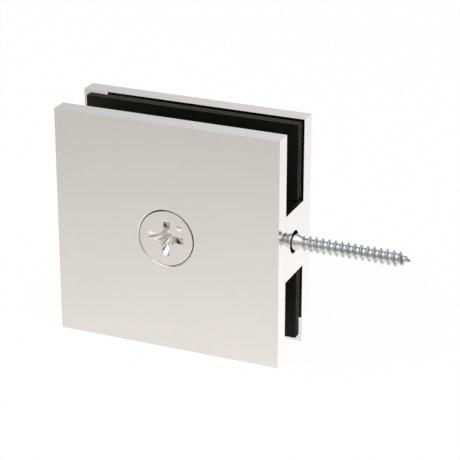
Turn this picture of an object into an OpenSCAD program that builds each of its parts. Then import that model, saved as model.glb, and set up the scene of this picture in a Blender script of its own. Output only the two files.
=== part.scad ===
// Square glass panel clamp for a wall: a back plate with a neck, a cover plate that a screw pulls on to
// the neck, two rubber pads that grip the glass, and a wood screw that holds the neck to the wall.
// Millimetres. The origin is the middle of the neck's end, where it meets the wall. +X runs into the wall
// along the wood screw, -Y faces the cover plate, and +Z is up.

/* [Plates] */
// Width of both plates, out from the wall
plate_w = 50.8; // [47:0.1:70]
// Height of both plates, along the wall
plate_h = 50.8; // [30:0.1:90]
// Thickness of the cover plate
cover_t = 4.0; // [3.8:0.1:5]
// Thickness of the back plate
back_t = 4.0; // [3.8:0.1:6]
// Clear space between the two plates, which the neck fills
plate_gap = 9.9; // [9.4:0.1:11]

/* [Neck] */
// Height of the neck, which passes through a notch in the glass
neck_h = 14.8; // [12:0.1:20]
// Diameter of the clearance hole where the wood screw leaves the neck
screw_hole_d = 5.0; // [4.2:0.1:5.6]
// Diameter of the bore that the wood screw and its driver enter by
access_d = 7.5; // [7.3:0.1:8]
// Diameter of the tapped hole for the clamp screw
tapped_d = 6.1; // [6.04:0.02:6.2]
// Space between the clamp screw's end and the bottom of its hole
tapped_run_out = 0.5; // [0.3:0.1:0.8]

/* [Rubber pads] */
// Thickness of each pad
pad_t = 1.0; // [0.5:0.1:1.5]
// Margin of bare plate that shows round each pad
pad_inset = 1.0; // [0.5:0.1:4]
// Space between a pad's notch and the neck
pad_clearance = 0.3; // [0.1:0.1:1]

/* [Clamp screw] */
// Diameter of the clamp screw, over its thread
clamp_screw_d = 6.0; // [5.6:0.1:6]
// Pitch of its thread
clamp_pitch = 1.0; // [0.75:0.05:1.25]
// Length of the clamp screw, over its head
clamp_screw_l = 16.0; // [14:0.1:16]
// Diameter of the clamp screw's flush head
clamp_head_d = 12.2; // [11:0.1:12.6]
// Height of the straight rim of that head
clamp_rim = 0.4; // [0.2:0.1:0.5]
// Diameter of the clearance hole in the cover plate
cover_hole_d = 6.4; // [6.3:0.1:7]
// Gap between a screw's head and its countersink, square to the cone
seat_gap = 0.12; // [0.05:0.01:0.15]
// Width of the cross recess, from wing tip to wing tip
recess_w = 8.0; // [6:0.1:8.4]
// Width of one wing of the cross recess
wing_w = 1.55; // [1.2:0.05:2]
// Depth of the cross recess
recess_depth = 3.1; // [2.4:0.1:3.3]
// Diameter of the raised dot beside the recess
dot_d = 1.2; // [0.8:0.1:1.4]
// Height of that dot
dot_h = 0.2; // [0.1:0.05:0.4]
// Distance of the dot from the screw's axis
dot_reach = 4.1; // [3.9:0.1:4.8]
// Angle past upright at which the tightened screw's recess has come to rest
rest_turn = 2.5; // [1:0.5:20]

/* [Wall screw] */
// Length of the wood screw, over its head
wall_screw_l = 38.1; // [32:0.1:44]
// How far the wood screw stands out of the neck
reach = 25.6; // [22:0.1:29]
// Length of the threaded part, with the point
thread_l = 25.4; // [20:0.1:27]
// Diameter of the plain shank, and over the thread's crests
shank_d = 3.5; // [3.2:0.05:3.8]
// Diameter of the core between the threads
core_d = 2.3; // [2:0.05:2.6]
// Distance from one crest to the next
thread_pitch = 1.41; // [1.2:0.01:1.6]
// Width of the thread at its foot
foot_w = 0.8; // [0.6:0.05:1]
// Length of the gimlet point
point_l = 3.2; // [2.6:0.1:4]
// Diameter of the wood screw's countersunk head
wall_head_d = 7.0; // [6.6:0.1:7.2]
// Width of its cross recess, from wing tip to wing tip
drive_w = 4.3; // [3.8:0.1:4.8]
// Width of one wing of that recess
drive_wing = 1.0; // [0.8:0.05:1.2]
// Depth of that recess
drive_depth = 2.0; // [1.5:0.1:2.4]

/* [Hidden] */
$fn = 72;
cut = 1;                                    // how far a cutting tool runs past the face that it cuts

neck_y = -plate_gap / 2;                    // the neck's free face, which the cover plate closes
front_y = neck_y - cover_t;                 // the cover plate's outer face
axis_x = -plate_w / 2;                      // the clamp screw's axis, in the middle of the plates
neck_r = neck_h / 2;
tapped_depth = front_y + clamp_screw_l + tapped_run_out - neck_y;

clamp_head_r = clamp_head_d / 2;
clamp_cone_h = clamp_head_r - clamp_screw_d / 2;        // the head is a 90 degree cone
mouth_r = clamp_head_r + seat_gap * sqrt(2);
tip_bevel = 0.6;                            // chamfer on the clamp screw's end

head_angle = 41;                            // half of the wood screw's 82 degree head
wall_head_r = wall_head_d / 2;
wall_cone_h = (wall_head_d - shank_d) / 2 / tan(head_angle);
seat_r = wall_head_r + seat_gap / cos(head_angle);      // radius of its seat, level with its top
head_x = reach - wall_screw_l;              // top of the wood screw's head
shank_end_x = reach - thread_l;             // where its plain shank ends
neck_down = 1.3;                            // length over which the shank thins to the core

steps = 24;                                 // faces in one turn of a thread
thread_turn = 22.5;                         // angle at which a thread starts
wood_crest = 0.1;                           // flat on the wood screw's crest
wood_buried = 1.6;                          // length of its thread's first turn, hidden in the shank
clamp_crest = clamp_pitch / 8;              // a machine thread: flat crest and root, 60 degree sides
clamp_core_d = clamp_screw_d - 1.08 * clamp_pitch;
clamp_buried = 1.3;                         // length of its thread's first turn, hidden in the head

// Turn what is drawn along +Z so that it runs along +X or +Y.
module along_x() { rotate([0, 90, 0]) children(); }
module along_y() { rotate([-90, 0, 0]) children(); }

// A plate or pad whose outer edge keeps a margin from the plates' own, drawn along +Y from y.
module slab(y, thickness, margin = 0) {
    translate([-plate_w + margin, y, -plate_h / 2 + margin])
        cube([plate_w - 2 * margin, thickness, plate_h - 2 * margin]);
}

// The neck's outline: straight from the wall, with a round end about the clamp screw.
module neck_outline(grow = 0, past_wall = 0) {
    translate([axis_x, 0])
        circle(r = neck_r + grow);
    translate([axis_x, -neck_r - grow])
        square([-axis_x + past_wall, neck_h + 2 * grow]);
}

// A cross recess, cut down along +Z from a screw's top: four wings that narrow towards a blunt floor.
module cross_recess(width, wing, depth) {
    floor_r = width * 0.33;
    blunt_r = width * 0.1;
    shoulder = depth * 0.8;
    taper = 0.5;
    intersection() {
        rotate_extrude()
            polygon([
                [0, -cut], [width / 2, -cut], [width / 2, 0],
                [floor_r, shoulder], [blunt_r, depth], [0, depth]
            ]);
        union() {
            translate([0, 0, -cut])
                linear_extrude(cut)
                    cross_outline(width, wing);
            linear_extrude(depth + cut, scale = taper)
                cross_outline(width, wing);
        }
    }
}

// Four wings, with hollow round corners between them.
module cross_outline(width, wing) {
    corner_r = width * 0.17;
    corner = wing / 2 + corner_r;
    square([width, wing], center = true);
    square([wing, width], center = true);
    difference() {
        square(2 * corner, center = true);
        for (x = [-corner, corner], y = [-corner, corner])
            translate([x, y])
                circle(r = corner_r, $fn = 24);
    }
}

// A right-handed thread round +Z, with its core, from z = 0 to a point at z = length. The section is one
// pitch of it: a list of [distance along the axis, share of the thread's height]. Each angle step lifts
// the section by pitch / steps, so one strip of faces follows the helix. core(z) is the core's radius and
// ridge(z) the thread's height.
module helical_thread(length, pitch, section, core, ridge) {
    strands = len(section);
    rows = ceil(length / pitch * steps);

    function height(s, k) = k * pitch / steps + section[s][0];
    function radius(s, z) = core(z) + section[s][1] * ridge(z);
    function at(s, k) = [
        radius(s, height(s, k)) * cos(360 * k / steps),
        radius(s, height(s, k)) * sin(360 * k / steps),
        height(s, k)
    ];
    // A section's last strand is the next turn's first, and a place past the end is the point itself.
    function index(s, k) =
        s == strands ? index(0, k + steps) :
        height(s, k) >= length ? 1 :
        2 + k * strands + s;
    function whole(f) = f[0] != f[1] && f[1] != f[2] && f[2] != f[0];

    points = concat(
        [[0, 0, pitch / 2], [0, 0, length]],
        [for (k = [0 : rows], s = [0 : strands - 1]) at(s, k)]
    );
    sides = [for (k = [0 : rows - 1], s = [0 : strands - 1], half = [0, 1])
        half == 0 ? [index(s, k), index(s + 1, k), index(s + 1, k + 1)]
                  : [index(s, k), index(s + 1, k + 1), index(s, k + 1)]];
    start_spiral = [for (k = [0 : steps - 1]) [0, index(0, k), index(0, k + 1)]];
    start_step = [for (s = [0 : strands - 1]) [0, index(s + 1, 0), index(s, 0)]];
    polyhedron(points, [for (f = concat(sides, start_spiral, start_step)) if (whole(f)) f]);
}

// The corners of one pitch: a flat crest, its two sides and a flat root.
function thread_section(pitch, crest, foot) =
    [[0, 1], [crest, 1], [(crest + foot) / 2, 0], [pitch - (foot - crest) / 2, 0]];

// Back plate and neck, cut from one block.
module clamp_body() {
    color("silver")
        difference() {
            union() {
                slab(plate_gap / 2, back_t);
                translate([0, neck_y, 0])
                    along_y()
                        linear_extrude(plate_gap + back_t / 2)
                            neck_outline();
            }
            translate([axis_x, neck_y - cut, 0])
                along_y()
                    cylinder(d = tapped_d, h = tapped_depth + cut);
            wall_screw_bore();
        }
}

// The bore for the wood screw: wide from the neck's round end, then a seat, then the clearance hole.
module wall_screw_bore() {
    mouth_x = axis_x - neck_r - cut;
    seat_x = head_x + (seat_r - access_d / 2) / tan(head_angle);
    hole_x = head_x + (seat_r - screw_hole_d / 2) / tan(head_angle);
    along_x()
        rotate_extrude()
            polygon([
                [0, mouth_x], [access_d / 2, mouth_x],
                [access_d / 2, seat_x], [screw_hole_d / 2, hole_x],
                [screw_hole_d / 2, cut], [0, cut]
            ]);
}

// Loose cover plate, countersunk for the clamp screw.
module front_plate() {
    hole_r = cover_hole_d / 2;
    color("silver")
        difference() {
            slab(front_y, cover_t);
            translate([axis_x, front_y, 0])
                along_y()
                    rotate_extrude()
                        polygon([
                            [0, -cut], [mouth_r, -cut],
                            [mouth_r, clamp_rim], [hole_r, clamp_rim + mouth_r - hole_r],
                            [hole_r, cover_t + cut], [0, cover_t + cut]
                        ]);
        }
}

// A rubber pad from y, notched round the neck.
module pad(y) {
    color("#1c1c1c")
        difference() {
            slab(y, pad_t, pad_inset);
            translate([0, y - cut, 0])
                along_y()
                    linear_extrude(pad_t + 2 * cut)
                        neck_outline(pad_clearance, cut);
        }
}

module front_gasket() { pad(neck_y); }
module back_gasket() { pad(plate_gap / 2 - pad_t); }

// Countersunk machine screw, flush with the cover plate.
module clamp_screw() {
    shaft_r = clamp_screw_d / 2;
    neck_z = clamp_rim + clamp_cone_h;
    color("lightgray")
        translate([axis_x, front_y, 0])
            along_y()
                rotate(rest_turn) {
                    difference() {
                        rotate_extrude()
                            polygon([
                                [0, 0], [clamp_head_r, 0], [clamp_head_r, clamp_rim],
                                [shaft_r, neck_z], [shaft_r, neck_z + clamp_pitch],
                                [clamp_core_d / 2 - 0.1, neck_z + 1.5 * clamp_pitch],
                                [0, neck_z + 1.5 * clamp_pitch]
                            ]);
                        cross_recess(recess_w, wing_w, recess_depth);
                    }
                    raised_dot();
                    intersection() {
                        translate([0, 0, neck_z - clamp_buried + clamp_pitch])
                            rotate(thread_turn)
                                machine_thread(clamp_screw_l);
                        bevelled_rod(shaft_r + 0.1, clamp_screw_l);
                    }
                }
}

// A low dome on the screw's face.
module raised_dot() {
    dome_r = (dot_d * dot_d / 4 + dot_h * dot_h) / (2 * dot_h);
    rotate(-45)
        translate([dot_reach, 0, dome_r - dot_h])
            intersection() {
                rotate([90, 0, 0])
                    sphere(r = dome_r);
                translate([0, 0, -dome_r])
                    cylinder(d = dot_d, h = dot_h + 0.2);
            }
}

// A rod from z = 0 with its far end bevelled.
module bevelled_rod(r, length) {
    rotate_extrude()
        polygon([[0, 0], [r, 0], [r, length - tip_bevel], [r - tip_bevel, length], [0, length]]);
}

module machine_thread(length) {
    section = thread_section(clamp_pitch, clamp_crest, clamp_pitch * 0.75);
    full = (clamp_screw_d - clamp_core_d) / 2;
    helical_thread(
        length, clamp_pitch, section,
        function(z) clamp_core_d / 2,
        function(z) full * max(0, min(1, (z - clamp_buried) / clamp_pitch))
    );
}

module wood_thread(length) {
    section = thread_section(thread_pitch, wood_crest, foot_w);
    full = (shank_d - core_d) / 2;
    start = wood_buried + neck_down / 2;
    helical_thread(
        length, thread_pitch, section,
        function(z) core_d / 2 * sin(90 * min(1, (length - z) / point_l)),
        function(z) full * max(0, min(1, (z - start) / neck_down, 1.4 * (length - z) / point_l))
    );
}

// Flat-head wood screw, seated in the neck and driven out through its end.
module wall_screw() {
    color("gainsboro")
        along_x() {
            difference() {
                rotate_extrude()
                    polygon([
                        [0, head_x], [wall_head_r, head_x],
                        [shank_d / 2, head_x + wall_cone_h],
                        [shank_d / 2, shank_end_x],
                        [core_d / 2 - 0.1, shank_end_x + neck_down],
                        [0, shank_end_x + neck_down]
                    ]);
                translate([0, 0, head_x])
                    cross_recess(drive_w, drive_wing, drive_depth);
            }
            translate([0, 0, shank_end_x - wood_buried])
                rotate(thread_turn)
                    wood_thread(thread_l + wood_buried);
        }
}

clamp_body();
front_plate();
front_gasket();
back_gasket();
clamp_screw();
wall_screw();
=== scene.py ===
"""Square glass panel clamp: finishes, finely threaded screws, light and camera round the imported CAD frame."""
import math

import bmesh
import bpy
from mathutils import Matrix, Vector


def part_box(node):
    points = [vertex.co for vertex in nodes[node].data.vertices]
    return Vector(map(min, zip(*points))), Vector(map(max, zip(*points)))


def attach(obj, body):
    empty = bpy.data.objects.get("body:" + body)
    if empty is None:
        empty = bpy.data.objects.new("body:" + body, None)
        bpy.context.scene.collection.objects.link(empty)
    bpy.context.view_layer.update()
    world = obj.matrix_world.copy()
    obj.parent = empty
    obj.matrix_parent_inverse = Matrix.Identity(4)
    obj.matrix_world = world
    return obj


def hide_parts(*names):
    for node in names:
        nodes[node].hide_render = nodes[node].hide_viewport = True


MM = 0.001

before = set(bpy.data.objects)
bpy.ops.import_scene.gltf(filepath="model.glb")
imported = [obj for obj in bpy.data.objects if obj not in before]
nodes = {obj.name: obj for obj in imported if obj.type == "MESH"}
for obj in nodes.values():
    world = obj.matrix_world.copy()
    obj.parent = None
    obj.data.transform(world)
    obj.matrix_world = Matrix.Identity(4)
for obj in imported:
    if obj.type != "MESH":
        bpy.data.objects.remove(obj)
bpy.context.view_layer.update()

CLAMP_X = (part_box("clamp_screw")[0][0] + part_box("clamp_screw")[1][0]) / 2      # the clamp screw's axis
FRONT_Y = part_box("front_plate")[0][1]       # the cover plate's outer face
BACK_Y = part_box("clamp_body")[1][1]         # the back plate's outer face
REST_TURN = 2.5         # degrees past upright at which the clamp screw's recess rests
THREAD_TURN = 150.0     # degrees at which both threads start: the wood thread's phase is the solid's
FLAT_STRIP = 0.02       # mm of flat face beside a rounded rim, which keeps the face's shading flat
ROUNDING = 0.8          # how far a thread's flanks are rounded: 0 is straight, 1 is a full S
WARM = (1.0, 0.968, 0.938)      # the tint of the studio's front


# ---------------------------------------------------------------- node helpers

def plug(graph, socket, value):
    """Links a socket to another one, or sets it to a plain value."""
    if isinstance(value, bpy.types.NodeSocket):
        graph.tree.links.new(value, socket)
    else:
        socket.default_value = value


class Graph:
    """A node tree with short calls for adding nodes and linking them."""

    def __init__(self, owner):
        owner.use_nodes = True
        self.tree = owner.node_tree
        self.tree.nodes.clear()

    def add(self, kind, **settings):
        node = self.tree.nodes.new(kind)
        for name, value in settings.items():
            setattr(node, name, value)
        return node

    def feed(self, node, **inputs):
        """Fills inputs by name, where an underscore stands for a space."""
        for name, value in inputs.items():
            plug(self, node.inputs[name.replace("_", " ")], value)
        return node

    def end(self, kind, shader):
        output = self.add(kind)
        plug(self, output.inputs["Surface"], shader.outputs[0])

    def math(self, operation, *values):
        node = self.add("ShaderNodeMath", operation=operation)
        for socket, value in zip(node.inputs, values):
            plug(self, socket, value)
        return node.outputs[0]

    def smooth(self, value, low, high, out_low=0.0, out_high=1.0):
        """A smooth step of value between low and high."""
        node = self.add("ShaderNodeMapRange", interpolation_type="SMOOTHSTEP")
        self.feed(node, Value=value, From_Min=low, From_Max=high, To_Min=out_low, To_Max=out_high)
        return node.outputs["Result"]

    def mix(self, factor, a, b):
        """A colour between a and b."""
        node = self.add("ShaderNodeMix", data_type="RGBA")
        for socket, value in ((node.inputs[0], factor), (node.inputs[6], a), (node.inputs[7], b)):
            plug(self, socket, value)
        return node.outputs[2]

    def blend(self, factor, a, b):
        """A shader between a and b."""
        node = self.add("ShaderNodeMixShader")
        for socket, value in zip(node.inputs, (factor, a.outputs[0], b.outputs[0])):
            plug(self, socket, value)
        return node

    def axes(self, vector):
        node = self.add("ShaderNodeSeparateXYZ")
        plug(self, node.inputs[0], vector)
        return node.outputs["X"], node.outputs["Y"], node.outputs["Z"]

    def place(self, stretch=(1, 1, 1)):
        """Object coordinates, stretched along each axis."""
        node = self.add("ShaderNodeMapping")
        self.feed(node, Vector=self.add("ShaderNodeTexCoord").outputs["Object"], Scale=stretch)
        return node.outputs["Vector"]

    def noise(self, vector, scale, detail=2.0, roughness=0.5):
        node = self.add("ShaderNodeTexNoise")
        self.feed(node, Vector=vector, Scale=scale, Detail=detail, Roughness=roughness)
        return node.outputs["Fac"]

    def bump(self, height, depth, strength):
        node = self.add("ShaderNodeBump")
        self.feed(node, Strength=strength, Distance=depth, Height=height)
        return node.outputs[0]

    def ray(self, *names):
        """1 where the ray is of one of these kinds, and 0 elsewhere."""
        path = self.add("ShaderNodeLightPath")
        total = path.outputs[names[0]]
        for name in names[1:]:
            total = self.math("MAXIMUM", total, path.outputs[name])
        return total


def rgba(r, g, b):
    return (r, g, b, 1.0)


def grey(value, tint=(1, 1, 1)):
    return rgba(*(value * share for share in tint))


# ---------------------------------------------------------------- materials

def surface(name, build):
    """A material whose build function fills a graph round a Principled shader."""
    material = bpy.data.materials.new(name)
    graph = Graph(material)
    shader = graph.add("ShaderNodeBsdfPrincipled")
    build(graph, shader)
    graph.end("ShaderNodeOutputMaterial", shader)
    return material


def from_axis(graph, a, b, centre):
    """The distance from a straight line, given the two coordinates square to it."""
    across = graph.math("SUBTRACT", a, centre)
    squares = graph.math("ADD", graph.math("POWER", across, 2.0), graph.math("POWER", b, 2.0))
    return graph.math("SQRT", squares)


def in_bore(graph, reach, radius, along, end):
    """1 within a radius of a bore's axis and before its end, and 0 elsewhere."""
    near = graph.math("LESS_THAN", reach, radius)
    return graph.math("MULTIPLY", near, graph.math("LESS_THAN", along, end))


def nickel(graph, shader):
    """Polished nickel plate: soft clouds, faint polishing lines, and near-black painted shade inside the bores.
    """
    clouds = graph.noise(graph.place(), 70.0, 3.0)
    lines = graph.noise(graph.place((1, 1, 14)), 700.0, 5.0, 0.65)
    cloudy = graph.smooth(clouds, 0.3, 0.7)
    plate = graph.mix(cloudy, rgba(0.935, 0.924, 0.905), rgba(0.955, 0.944, 0.927))
    x, y, z = graph.axes(graph.place())
    wall_bore = in_bore(graph, from_axis(graph, y, z, 0.0), 3.8 * MM, x, -0.05 * MM)
    clamp_bore = in_bore(graph, from_axis(graph, x, z, CLAMP_X), 3.3 * MM, y, BACK_Y - 1.0 * MM)
    # The bores' mask: inside it the colour turns near-black, a painted shade where the holes fall dark, and the
    # metal is rougher.
    inside = graph.math("MAXIMUM", wall_bore, clamp_bore)
    colour = graph.mix(inside, plate, rgba(0.03, 0.029, 0.028))
    rough = graph.smooth(lines, 0.3, 0.8, 0.03, 0.055)
    rough = graph.math("ADD", rough, graph.smooth(clouds, 0.35, 0.75, 0.0, 0.012))
    rough = graph.math("MAXIMUM", rough, graph.math("MULTIPLY", inside, 0.5))
    normal = graph.bump(lines, 0.004 * MM, 0.05)
    graph.feed(shader, Base_Color=colour, Metallic=1.0, Roughness=rough, Normal=normal)


def nickel_screw(graph, shader):
    """Nickel on a turned screw: rings left by the lathe and small blemishes."""
    x, _, z = graph.axes(graph.place())
    ring_width = 0.12 * MM
    reach = from_axis(graph, x, z, CLAMP_X)
    rings = graph.math("SINE", graph.math("MULTIPLY", reach, math.tau / ring_width))
    spots = graph.noise(graph.place(), 1500.0, 4.0, 0.6)
    spotted = graph.smooth(spots, 0.35, 0.7)
    colour = graph.mix(spotted, rgba(0.92, 0.905, 0.885), rgba(0.955, 0.944, 0.927))
    height = graph.math("ADD", graph.math("MULTIPLY", rings, 0.15), graph.math("MULTIPLY", spots, 0.3))
    rough = graph.smooth(spots, 0.3, 0.75, 0.05, 0.10)
    normal = graph.bump(height, 0.003 * MM, 0.05)
    graph.feed(shader, Base_Color=colour, Metallic=1.0, Roughness=rough, Normal=normal)


def zinc(graph, shader):
    """Bright zinc on a rolled thread: fine streaks round the screw and a cloudy, slightly blue grey."""
    streaks = graph.noise(graph.place((9, 1, 1)), 900.0, 4.0, 0.6)
    clouds = graph.noise(graph.place(), 400.0, 3.0, 0.6)
    colour = graph.mix(graph.smooth(clouds, 0.3, 0.7), rgba(0.64, 0.65, 0.67), rgba(0.76, 0.77, 0.78))
    rough = graph.smooth(streaks, 0.3, 0.7, 0.06, 0.12)
    rough = graph.math("ADD", rough, graph.smooth(clouds, 0.4, 0.8, 0.0, 0.04))
    normal = graph.bump(streaks, 0.01 * MM, 0.12)
    graph.feed(shader, Base_Color=colour, Metallic=1.0, Roughness=rough, Normal=normal)


def rubber(graph, shader):
    """Matt black sheet rubber: fine grain, a trace of dust, and painted light that makes its top, bottom and
    sides lighter than its faces.
    """
    grain = graph.noise(graph.place(), 5000.0, 3.0, 0.6)
    clouds = graph.noise(graph.place(), 250.0, 2.0)
    cloudy = graph.smooth(clouds, 0.3, 0.7)
    faces = graph.mix(cloudy, rgba(0.0025, 0.0025, 0.0025), rgba(0.005, 0.005, 0.0048))
    # Painted light: surfaces that don't face along Y get a lighter black than the two broad faces.
    edges = graph.mix(cloudy, rgba(0.017, 0.017, 0.017), rgba(0.021, 0.021, 0.0205))
    _, across, _ = graph.axes(graph.add("ShaderNodeNewGeometry").outputs["True Normal"])
    colour = graph.mix(graph.smooth(graph.math("ABSOLUTE", across), 0.5, 0.9), edges, faces)
    dust = graph.smooth(grain, 0.68, 0.8, 0.0, 0.15)
    colour = graph.mix(dust, colour, rgba(0.03, 0.029, 0.028))
    rough = graph.smooth(grain, 0.3, 0.7, 0.55, 0.68)
    shader.inputs["Specular IOR Level"].default_value = 0.3
    graph.feed(shader, Base_Color=colour, Roughness=rough, Normal=graph.bump(grain, 0.01 * MM, 0.15))


def dress(piece, material):
    piece.data.materials.clear()
    piece.data.materials.append(material)


# ---------------------------------------------------------------- CAD pieces that keep their shape

def open_mouth(piece, width):
    """Widens the countersink's mouth by a narrow cone, so that light falls into the gap round the head."""
    group = piece.vertex_groups.new(name="mouth")
    farther_than_mouth = 8 * MM
    for vertex in piece.data.vertices:
        x, y, z = vertex.co
        on_face = abs(y - FRONT_Y) < 0.01 * MM
        if on_face and math.hypot(x - CLAMP_X, z) < farther_than_mouth:
            group.add([vertex.index], 1.0, "REPLACE")
    weld = piece.modifiers.new("join mouth", "WELD")
    weld.merge_threshold = 0.001 * MM
    bevel = piece.modifiers.new("mouth", "BEVEL")
    bevel.limit_method = "VGROUP"
    bevel.vertex_group = "mouth"
    bevel.width = width
    bevel.segments = 1


def soften(piece, width):
    """Joins the mesh's split corners and rounds its sharp edges by a hair, as polishing does."""
    weld = piece.modifiers.new("join", "WELD")
    weld.merge_threshold = 0.001 * MM
    bevel = piece.modifiers.new("edges", "BEVEL")
    bevel.width = width
    bevel.segments = 2
    bevel.limit_method = "ANGLE"
    bevel.angle_limit = math.radians(35)
    bevel.harden_normals = True


# ---------------------------------------------------------------- screws

class Shell:
    """A mesh drawn along +Z, ring by ring, in millimetres."""

    def __init__(self):
        self.points, self.faces = [], []

    def ring(self, points):
        start = len(self.points)
        self.points += points
        return list(range(start, start + len(points)))

    def join(self, a, b):
        """Faces between two rings that have the same number of points."""
        for i in range(len(a)):
            k = (i + 1) % len(a)
            self.faces.append((a[i], a[k], b[k], b[i]))

    def close(self, ring, z):
        """Faces from a ring to a point on the axis."""
        centre = self.ring([(0.0, 0.0, z)])[0]
        for i in range(len(ring)):
            self.faces.append((ring[i], ring[(i + 1) % len(ring)], centre))

    def run(self, rings):
        """Joins a list of rings, each one to the next."""
        made = [self.ring(points) for points in rings]
        for a, b in zip(made, made[1:]):
            self.join(a, b)
        return made

    def piece(self, name, place):
        """The finished Blender object, moved from +Z to its place by a matrix in millimetres."""
        mesh = bpy.data.meshes.new(name)
        mesh.from_pydata([place @ Vector(p) * MM for p in self.points], [], self.faces)
        work = bmesh.new()
        work.from_mesh(mesh)
        bmesh.ops.remove_doubles(work, verts=work.verts, dist=0.0005 * MM)
        bmesh.ops.dissolve_degenerate(work, edges=work.edges, dist=0.0002 * MM)
        bmesh.ops.recalc_face_normals(work, faces=work.faces)
        work.to_mesh(mesh)
        work.free()
        mesh.shade_smooth()
        mesh.set_sharp_from_angle(angle=math.radians(38))
        piece = bpy.data.objects.new(name, mesh)
        bpy.context.scene.collection.objects.link(piece)
        return piece


TIP_STEPS, SIDE_STEPS, CORNER_STEPS = 3, 4, 8       # points on an eighth of the cross recess
WALL_STEPS, RIM_STEPS = 12, 4                       # rings down its walls, and round an edge


def cross_outline(tip, half_wing, corner):
    """A cross with round hollow corners, cut off by a circle of radius tip: points all the way round."""
    inner = half_wing + corner
    tip_angle = math.asin(min(1.0, half_wing / tip))
    octant = [
        (tip * math.cos(a), tip * math.sin(a))
        for a in (tip_angle * i / TIP_STEPS for i in range(TIP_STEPS))
    ]
    far = math.sqrt(max(tip ** 2 - half_wing ** 2, 0.0))
    octant += [(far + (inner - far) * i / SIDE_STEPS, half_wing) for i in range(SIDE_STEPS)]
    for i in range(CORNER_STEPS + 1):
        a = math.radians(-90 - 45 * i / CORNER_STEPS)
        octant.append((inner + corner * math.cos(a), inner + corner * math.sin(a)))
    trimmed = []
    for x, y in octant:
        share = min(1.0, tip / math.hypot(x, y))
        trimmed.append((x * share, y * share))
    quarter = trimmed + [(y, x) for x, y in trimmed[-2:0:-1]]
    outline = []
    for c, s in ((1, 0), (0, 1), (-1, 0), (0, -1)):
        outline += [(c * x - s * y, s * x + c * y) for x, y in quarter]
    return outline


def recess_rings(width, wing, depth, edge):
    """A cross recess from its floor up to a rounded rim: wings that narrow and shorten with the depth."""
    shoulder = 0.8 * depth                      # where the wings end and the blunt point starts
    floor_share, blunt_share = 0.2, 0.1         # its reach there and at the floor, as shares of the width
    draft = 0.8 / (depth + 1.0)                 # how fast the wings narrow
    corner = 0.17 * width
    rings = []

    def add(tip, half_wing, corner_r, z):
        rings.append([(x, y, z) for x, y in cross_outline(tip, half_wing, corner_r)])

    for step in range(WALL_STEPS + 1):
        z = depth + (edge - depth) * step / WALL_STEPS
        if z < shoulder:
            tip = width * (0.5 + (floor_share - 0.5) * z / shoulder)
        else:
            below = (z - shoulder) / (depth - shoulder)
            tip = width * (floor_share + (blunt_share - floor_share) * below)
        share = 1 - draft * z
        add(tip, wing / 2 * share, corner * share, z)
    rim = [
        (edge * (1 - math.sin(angle)), edge * (1 - math.cos(angle)))
        for angle in (math.radians(90 - 90 / RIM_STEPS * step) for step in range(1, RIM_STEPS + 1))
    ]
    for grow, z in rim + [(edge + FLAT_STRIP, 0.0)]:
        add(width / 2 + grow, wing / 2 + grow, corner - grow, z)
    return rings


def turned_rings(outline, profile):
    """Circles through a list of (radius, z), whose points lie on the same rays as the outline's."""
    return [
        [(r * x / math.hypot(x, y), r * y / math.hypot(x, y), z) for x, y in outline]
        for r, z in profile
    ]


def rounded_rim(radius, edge):
    """The profile of a flat face's rounded rim: a list of (radius, z)."""
    angles = [math.radians(90 * i / RIM_STEPS) for i in range(RIM_STEPS + 1)]
    rim = [(radius - edge * (1 - math.sin(a)), edge * (1 - math.cos(a))) for a in angles]
    return [(radius - edge - FLAT_STRIP, 0.0)] + rim


def even_rays(count):
    """Points all round at even angles, to space a circle's points."""
    return [(math.cos(math.tau * i / count), math.sin(math.tau * i / count)) for i in range(count)]


def screw_head(shell, recess, profile):
    """A recessed head and what is turned with it, closed at its far end."""
    rings = recess_rings(*recess)
    rays = [(x, y) for x, y, _ in rings[-1]]
    made = shell.run(rings + turned_rings(rays, profile))
    shell.close(made[0], recess[2])
    shell.close(made[-1], profile[-1][1])


def thread_section(pitch, crest, flank, steps=28):
    """One pitch of a thread: (distance along the axis, share of its height), with soft crest and root."""
    section = []
    for step in range(steps):
        z = pitch * step / steps
        gap = z if z <= pitch / 2 else pitch - z
        share = min(1.0, max(0.0, (crest / 2 + flank - gap) / flank))
        rounded = share * share * (3 - 2 * share)
        section.append((z, rounded * ROUNDING + share * (1 - ROUNDING)))
    return section


def helix(shell, base, turn, length, pitch, section, radius, end_z, steps=56):
    """A right-handed thread with its core, from base to a point or flat at end_z."""
    strands = len(section)
    rows = math.ceil(length / pitch * steps)
    start = len(shell.points)
    shell.points += [(0.0, 0.0, base + pitch / 2), (0.0, 0.0, end_z)]
    index = {}
    for k in range(rows + steps + 1):
        for s in range(strands):
            z = base + k * pitch / steps + section[s][0]
            if z >= end_z:
                index[s, k] = start + 1
                continue
            a = math.radians(turn) + math.tau * k / steps
            r = radius(z, section[s][1])
            index[s, k] = len(shell.points)
            shell.points.append((r * math.cos(a), r * math.sin(a), z))
    for k in range(rows):
        for s in range(strands):
            t, up = (s + 1, k) if s + 1 < strands else (0, k + steps)
            corners = (index[s, k], index[t, up], index[t, up + 1], index[s, k + 1])
            halves = (corners[:3], (corners[0],) + corners[2:])
            shell.faces += [half for half in halves if len(set(half)) == 3]
    shell.faces += [(start, index[0, k], index[0, k + 1]) for k in range(steps)]
    for s in range(strands):
        t, up = (s + 1, 0) if s + 1 < strands else (0, steps)
        shell.faces.append((start, index[t, up], index[s, 0]))


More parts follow.
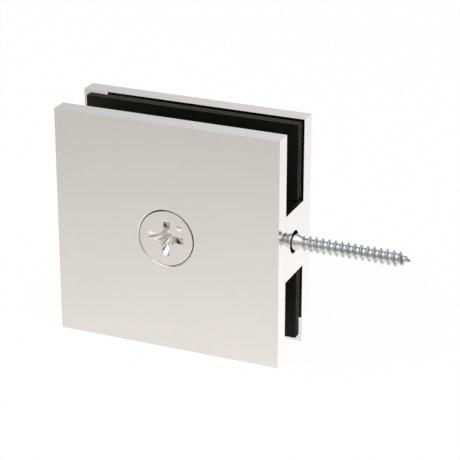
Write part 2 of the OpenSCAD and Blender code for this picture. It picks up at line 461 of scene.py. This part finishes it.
def raised_dot(shell, dot_r, dot_h, reach, sides=32, steps=8):
    """A low dome on the head's face, between two wings of the recess, sunk a little into the face."""
    sunk = 0.03
    dome_r = (dot_r ** 2 + dot_h ** 2) / (2 * dot_h)
    x, y = reach * math.cos(math.radians(45)), -reach * math.sin(math.radians(45))
    rings = []
    for step in range(steps, 0, -1):
        a = math.asin(min(1.0, (dot_r + sunk) / dome_r)) * step / steps
        r, z = dome_r * math.sin(a), dome_r - dot_h - dome_r * math.cos(a)
        rings.append([(x + r * c, y + r * s, z) for c, s in even_rays(sides)])
    made = shell.run(rings)
    top = shell.ring([(x, y, -dot_h)])[0]
    shell.faces += [(made[-1][i], made[-1][(i + 1) % sides], top) for i in range(sides)]
    shell.faces.append(tuple(made[0]))


def clamp_screw_piece():
    """The cover's flush screw: cross recess, raised dot, 90 degree head and M6 thread."""
    low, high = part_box("clamp_screw")
    head_r = (high[0] - low[0]) / 2 / MM
    length = (high[1] - FRONT_Y) / MM
    shaft_r, core_r, pitch, rim = 3.0, 2.46, 1.0, 0.4
    neck_z = rim + head_r - shaft_r
    start = neck_z + pitch
    shell = Shell()
    profile = rounded_rim(head_r, 0.09) + [
        (head_r, rim), (shaft_r, neck_z), (shaft_r, start), (core_r - 0.1, neck_z + 1.5 * pitch),
    ]
    screw_head(shell, (8.0, 1.55, 3.1, 0.08), profile)

    tip_bevel, clearance, buried, crest = 0.6, 0.1, 1.3, pitch / 8

    def radius(z, share):
        ridge = (shaft_r - core_r) * max(0.0, min(1.0, (z - start) / pitch))
        bevel = shaft_r + clearance - max(0.0, z - length + tip_bevel)
        return min(core_r + share * ridge, bevel)

    section = thread_section(pitch, crest, 0.31 * pitch)
    base = start - buried + crest / 2
    helix(shell, base, THREAD_TURN, length - start + buried, pitch, section, radius, length)
    raised_dot(shell, 0.6, 0.2, 4.1)

    place = Matrix.Translation((CLAMP_X / MM, FRONT_Y / MM, 0.0))
    place = place @ Matrix.Rotation(math.radians(-90), 4, "X")
    place = place @ Matrix.Rotation(math.radians(REST_TURN), 4, "Z")
    piece = shell.piece("clamp_screw_threaded", place)
    dress(piece, MATERIALS["nickel_screw"])
    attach(piece, "clamp_screw")
    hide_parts("clamp_screw")


def wall_screw_piece():
    """The wood screw: countersunk head, plain shank, rolled thread and gimlet point."""
    low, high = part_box("wall_screw")
    head_r = (high[1] - low[1]) / 2 / MM
    head_x, tip_x = low[0] / MM, high[0] / MM
    length = tip_x - head_x
    shank_r, crest_r, core_r, pitch, crest = 1.75, 1.75, 1.15, 1.41, 0.1
    thread_l, point_l, buried = 24.9, 3.2, 1.6
    run_in, fade_l = 1.6, 1.05          # lengths in which the shank narrows, and in which the ridge rises
    point_fade = 1.4                    # how soon the ridge sinks into the point
    shank_end = length - thread_l
    cone_end = (head_r - shank_r) / math.tan(math.radians(41))
    shell = Shell()
    profile = rounded_rim(head_r, 0.06) + [
        (shank_r, cone_end), (shank_r, shank_end - 0.03),
        (shank_r - 0.01, shank_end + 0.02), (core_r - 0.1, shank_end + run_in),
    ]
    screw_head(shell, (4.3, 1.0, 2.0, 0.05), profile)

    def radius(z, share):
        left = (length - z) / point_l
        core = core_r * math.sin(math.radians(90 * min(1.0, left)))
        risen = (z - shank_end - fade_l / 2) / fade_l
        ridge = (crest_r - core_r) * max(0.0, min(1.0, risen, point_fade * left))
        return core + share * ridge

    section = thread_section(pitch, crest, 0.45)
    base = shank_end - buried + crest / 2
    helix(shell, base, THREAD_TURN, thread_l + buried, pitch, section, radius, length)

    place = Matrix.Translation((head_x, 0.0, 0.0))
    place = place @ Matrix.Rotation(math.radians(90), 4, "Y")
    piece = shell.piece("wall_screw_threaded", place)
    dress(piece, MATERIALS["zinc_screw"])
    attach(piece, "wall_screw")
    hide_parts("wall_screw")


# ---------------------------------------------------------------- floor, light and camera

def studio_floor():
    """A plain white floor at the plates' feet. Metal looks through it to the studio's own gradient."""
    floor_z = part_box("front_plate")[0][2]
    reach = 3.0
    mesh = bpy.data.meshes.new("floor")
    corners = [(reach * x, reach * y, floor_z) for x, y in ((-1, -1), (1, -1), (1, 1), (-1, 1))]
    mesh.from_pydata(corners, [], [(0, 1, 2, 3)])
    floor = bpy.data.objects.new("floor", mesh)
    bpy.context.scene.collection.objects.link(floor)

    material = bpy.data.materials.new("floor")
    graph = Graph(material)
    paint = graph.feed(graph.add("ShaderNodeBsdfDiffuse"), Color=grey(0.85))
    glow = graph.feed(graph.add("ShaderNodeEmission"), Color=grey(1.0))
    clear = graph.add("ShaderNodeBsdfTransparent")
    seen = graph.blend(graph.math("MULTIPLY", graph.ray("Is Camera Ray"), 0.97), paint, glow)
    mirrored = graph.ray("Is Glossy Ray", "Is Transmission Ray")
    graph.end("ShaderNodeOutputMaterial", graph.blend(mirrored, seen, clear))
    dress(floor, material)


def studio_world():
    """White behind the object. Its reflections show a soft studio: a bright ceiling panel, a white sweep
    below, a pale wall behind that fades to the left and right, and a dim corner at the upper left."""
    world = bpy.data.worlds.new("studio")
    bpy.context.scene.world = world
    graph = Graph(world)
    x, y, z = graph.axes(graph.add("ShaderNodeTexCoord").outputs["Generated"])
    rear = graph.mix(graph.smooth(x, -1.0, 0.0), grey(0.22), grey(0.88))
    rear = graph.mix(graph.smooth(x, 0.1, 0.79), rear, grey(0.25))
    rear = graph.mix(graph.smooth(z, 0.42, 0.52), rear, grey(0.32))
    under = graph.math("MULTIPLY", z, -1.0)
    rear_sweep = graph.mix(graph.smooth(x, 0.35, 1.0), grey(1.2), grey(0.3))
    rear = graph.mix(graph.smooth(under, 0.14, 0.64), rear, rear_sweep)
    front = graph.mix(graph.smooth(x, 0.5, 1.0), grey(0.5, WARM), grey(0.3))
    front = graph.mix(graph.smooth(z, 0.30, 0.70), front, grey(0.8))
    front = graph.mix(graph.smooth(under, 0.24, 0.616), front, grey(1.06, WARM))
    around = graph.mix(graph.smooth(y, -0.35, 0.25), front, rear)
    upper = graph.math("MULTIPLY", graph.smooth(x, -0.40, -0.55), graph.smooth(z, 0.1, 0.4))
    upper = graph.math("MULTIPLY", upper, graph.smooth(y, 0.7, 0.4))
    around = graph.mix(upper, around, grey(0.12, WARM))
    tilted = graph.math("SUBTRACT", z, graph.math("MULTIPLY", y, 0.12))
    panel = graph.math("MULTIPLY", graph.smooth(tilted, 0.74, 0.90), graph.smooth(x, -0.52, -0.38))
    studio = graph.mix(panel, around, grey(1.35))
    seen = graph.mix(graph.ray("Is Camera Ray"), studio, grey(1.0))
    graph.end("ShaderNodeOutputWorld", graph.feed(graph.add("ShaderNodeBackground"), Color=seen))


def softbox(name, place, target, size, power):
    """A square soft lamp that mirrors don't show, as they show the studio's own panel."""
    light = bpy.data.lights.new(name, "AREA")
    light.size = size
    light.energy = power
    lamp = bpy.data.objects.new(name, light)
    bpy.context.scene.collection.objects.link(lamp)
    lamp.location = place
    lamp.visible_glossy = False
    lamp.rotation_mode = "QUATERNION"
    lamp.rotation_quaternion = (Vector(target) - Vector(place)).to_track_quat("-Z", "Y")


def photo_camera():
    """A long lens, a little to the right of the cover plate and above it."""
    azimuth, elevation = math.radians(23.05), math.radians(23.02)
    distance = 404.7 * MM
    aim = Vector((-14.4, -0.5, 0.45)) * MM
    back = Vector((
        math.sin(azimuth) * math.cos(elevation),
        -math.cos(azimuth) * math.cos(elevation),
        math.sin(elevation),
    ))
    camera = bpy.data.objects.new("camera", bpy.data.cameras.new("camera"))
    bpy.context.scene.collection.objects.link(camera)
    camera.data.sensor_width = 36.0
    camera.data.lens = 150.03
    camera.data.clip_start, camera.data.clip_end = 0.01, 20.0
    camera.location = aim + back * distance
    camera.rotation_mode = "QUATERNION"
    camera.rotation_quaternion = (-back).to_track_quat("-Z", "Y")
    bpy.context.scene.camera = camera


# ---------------------------------------------------------------- the model

MATERIALS = {
    "polished_nickel": surface("polished_nickel", nickel),
    "black_rubber": surface("black_rubber", rubber),
    "nickel_screw": surface("nickel_screw", nickel_screw),
    "zinc_screw": surface("zinc_screw", zinc),
}

for name, slot, edge in (
    ("clamp_body", "polished_nickel", 0.03 * MM),
    ("front_plate", "polished_nickel", 0.03 * MM),
    ("front_gasket", "black_rubber", 0.08 * MM),
    ("back_gasket", "black_rubber", 0.08 * MM),
):
    dress(nodes[name], MATERIALS[slot])
    if name == "front_plate":
        open_mouth(nodes[name], 0.2 * MM)
    soften(nodes[name], edge)

clamp_screw_piece()
wall_screw_piece()
studio_floor()
studio_world()
softbox("key", (-0.3, -0.5, 0.9), (0, 0, 0), 0.8, 6.0)
photo_camera()
bpy.context.scene.view_settings.view_transform = "Standard"
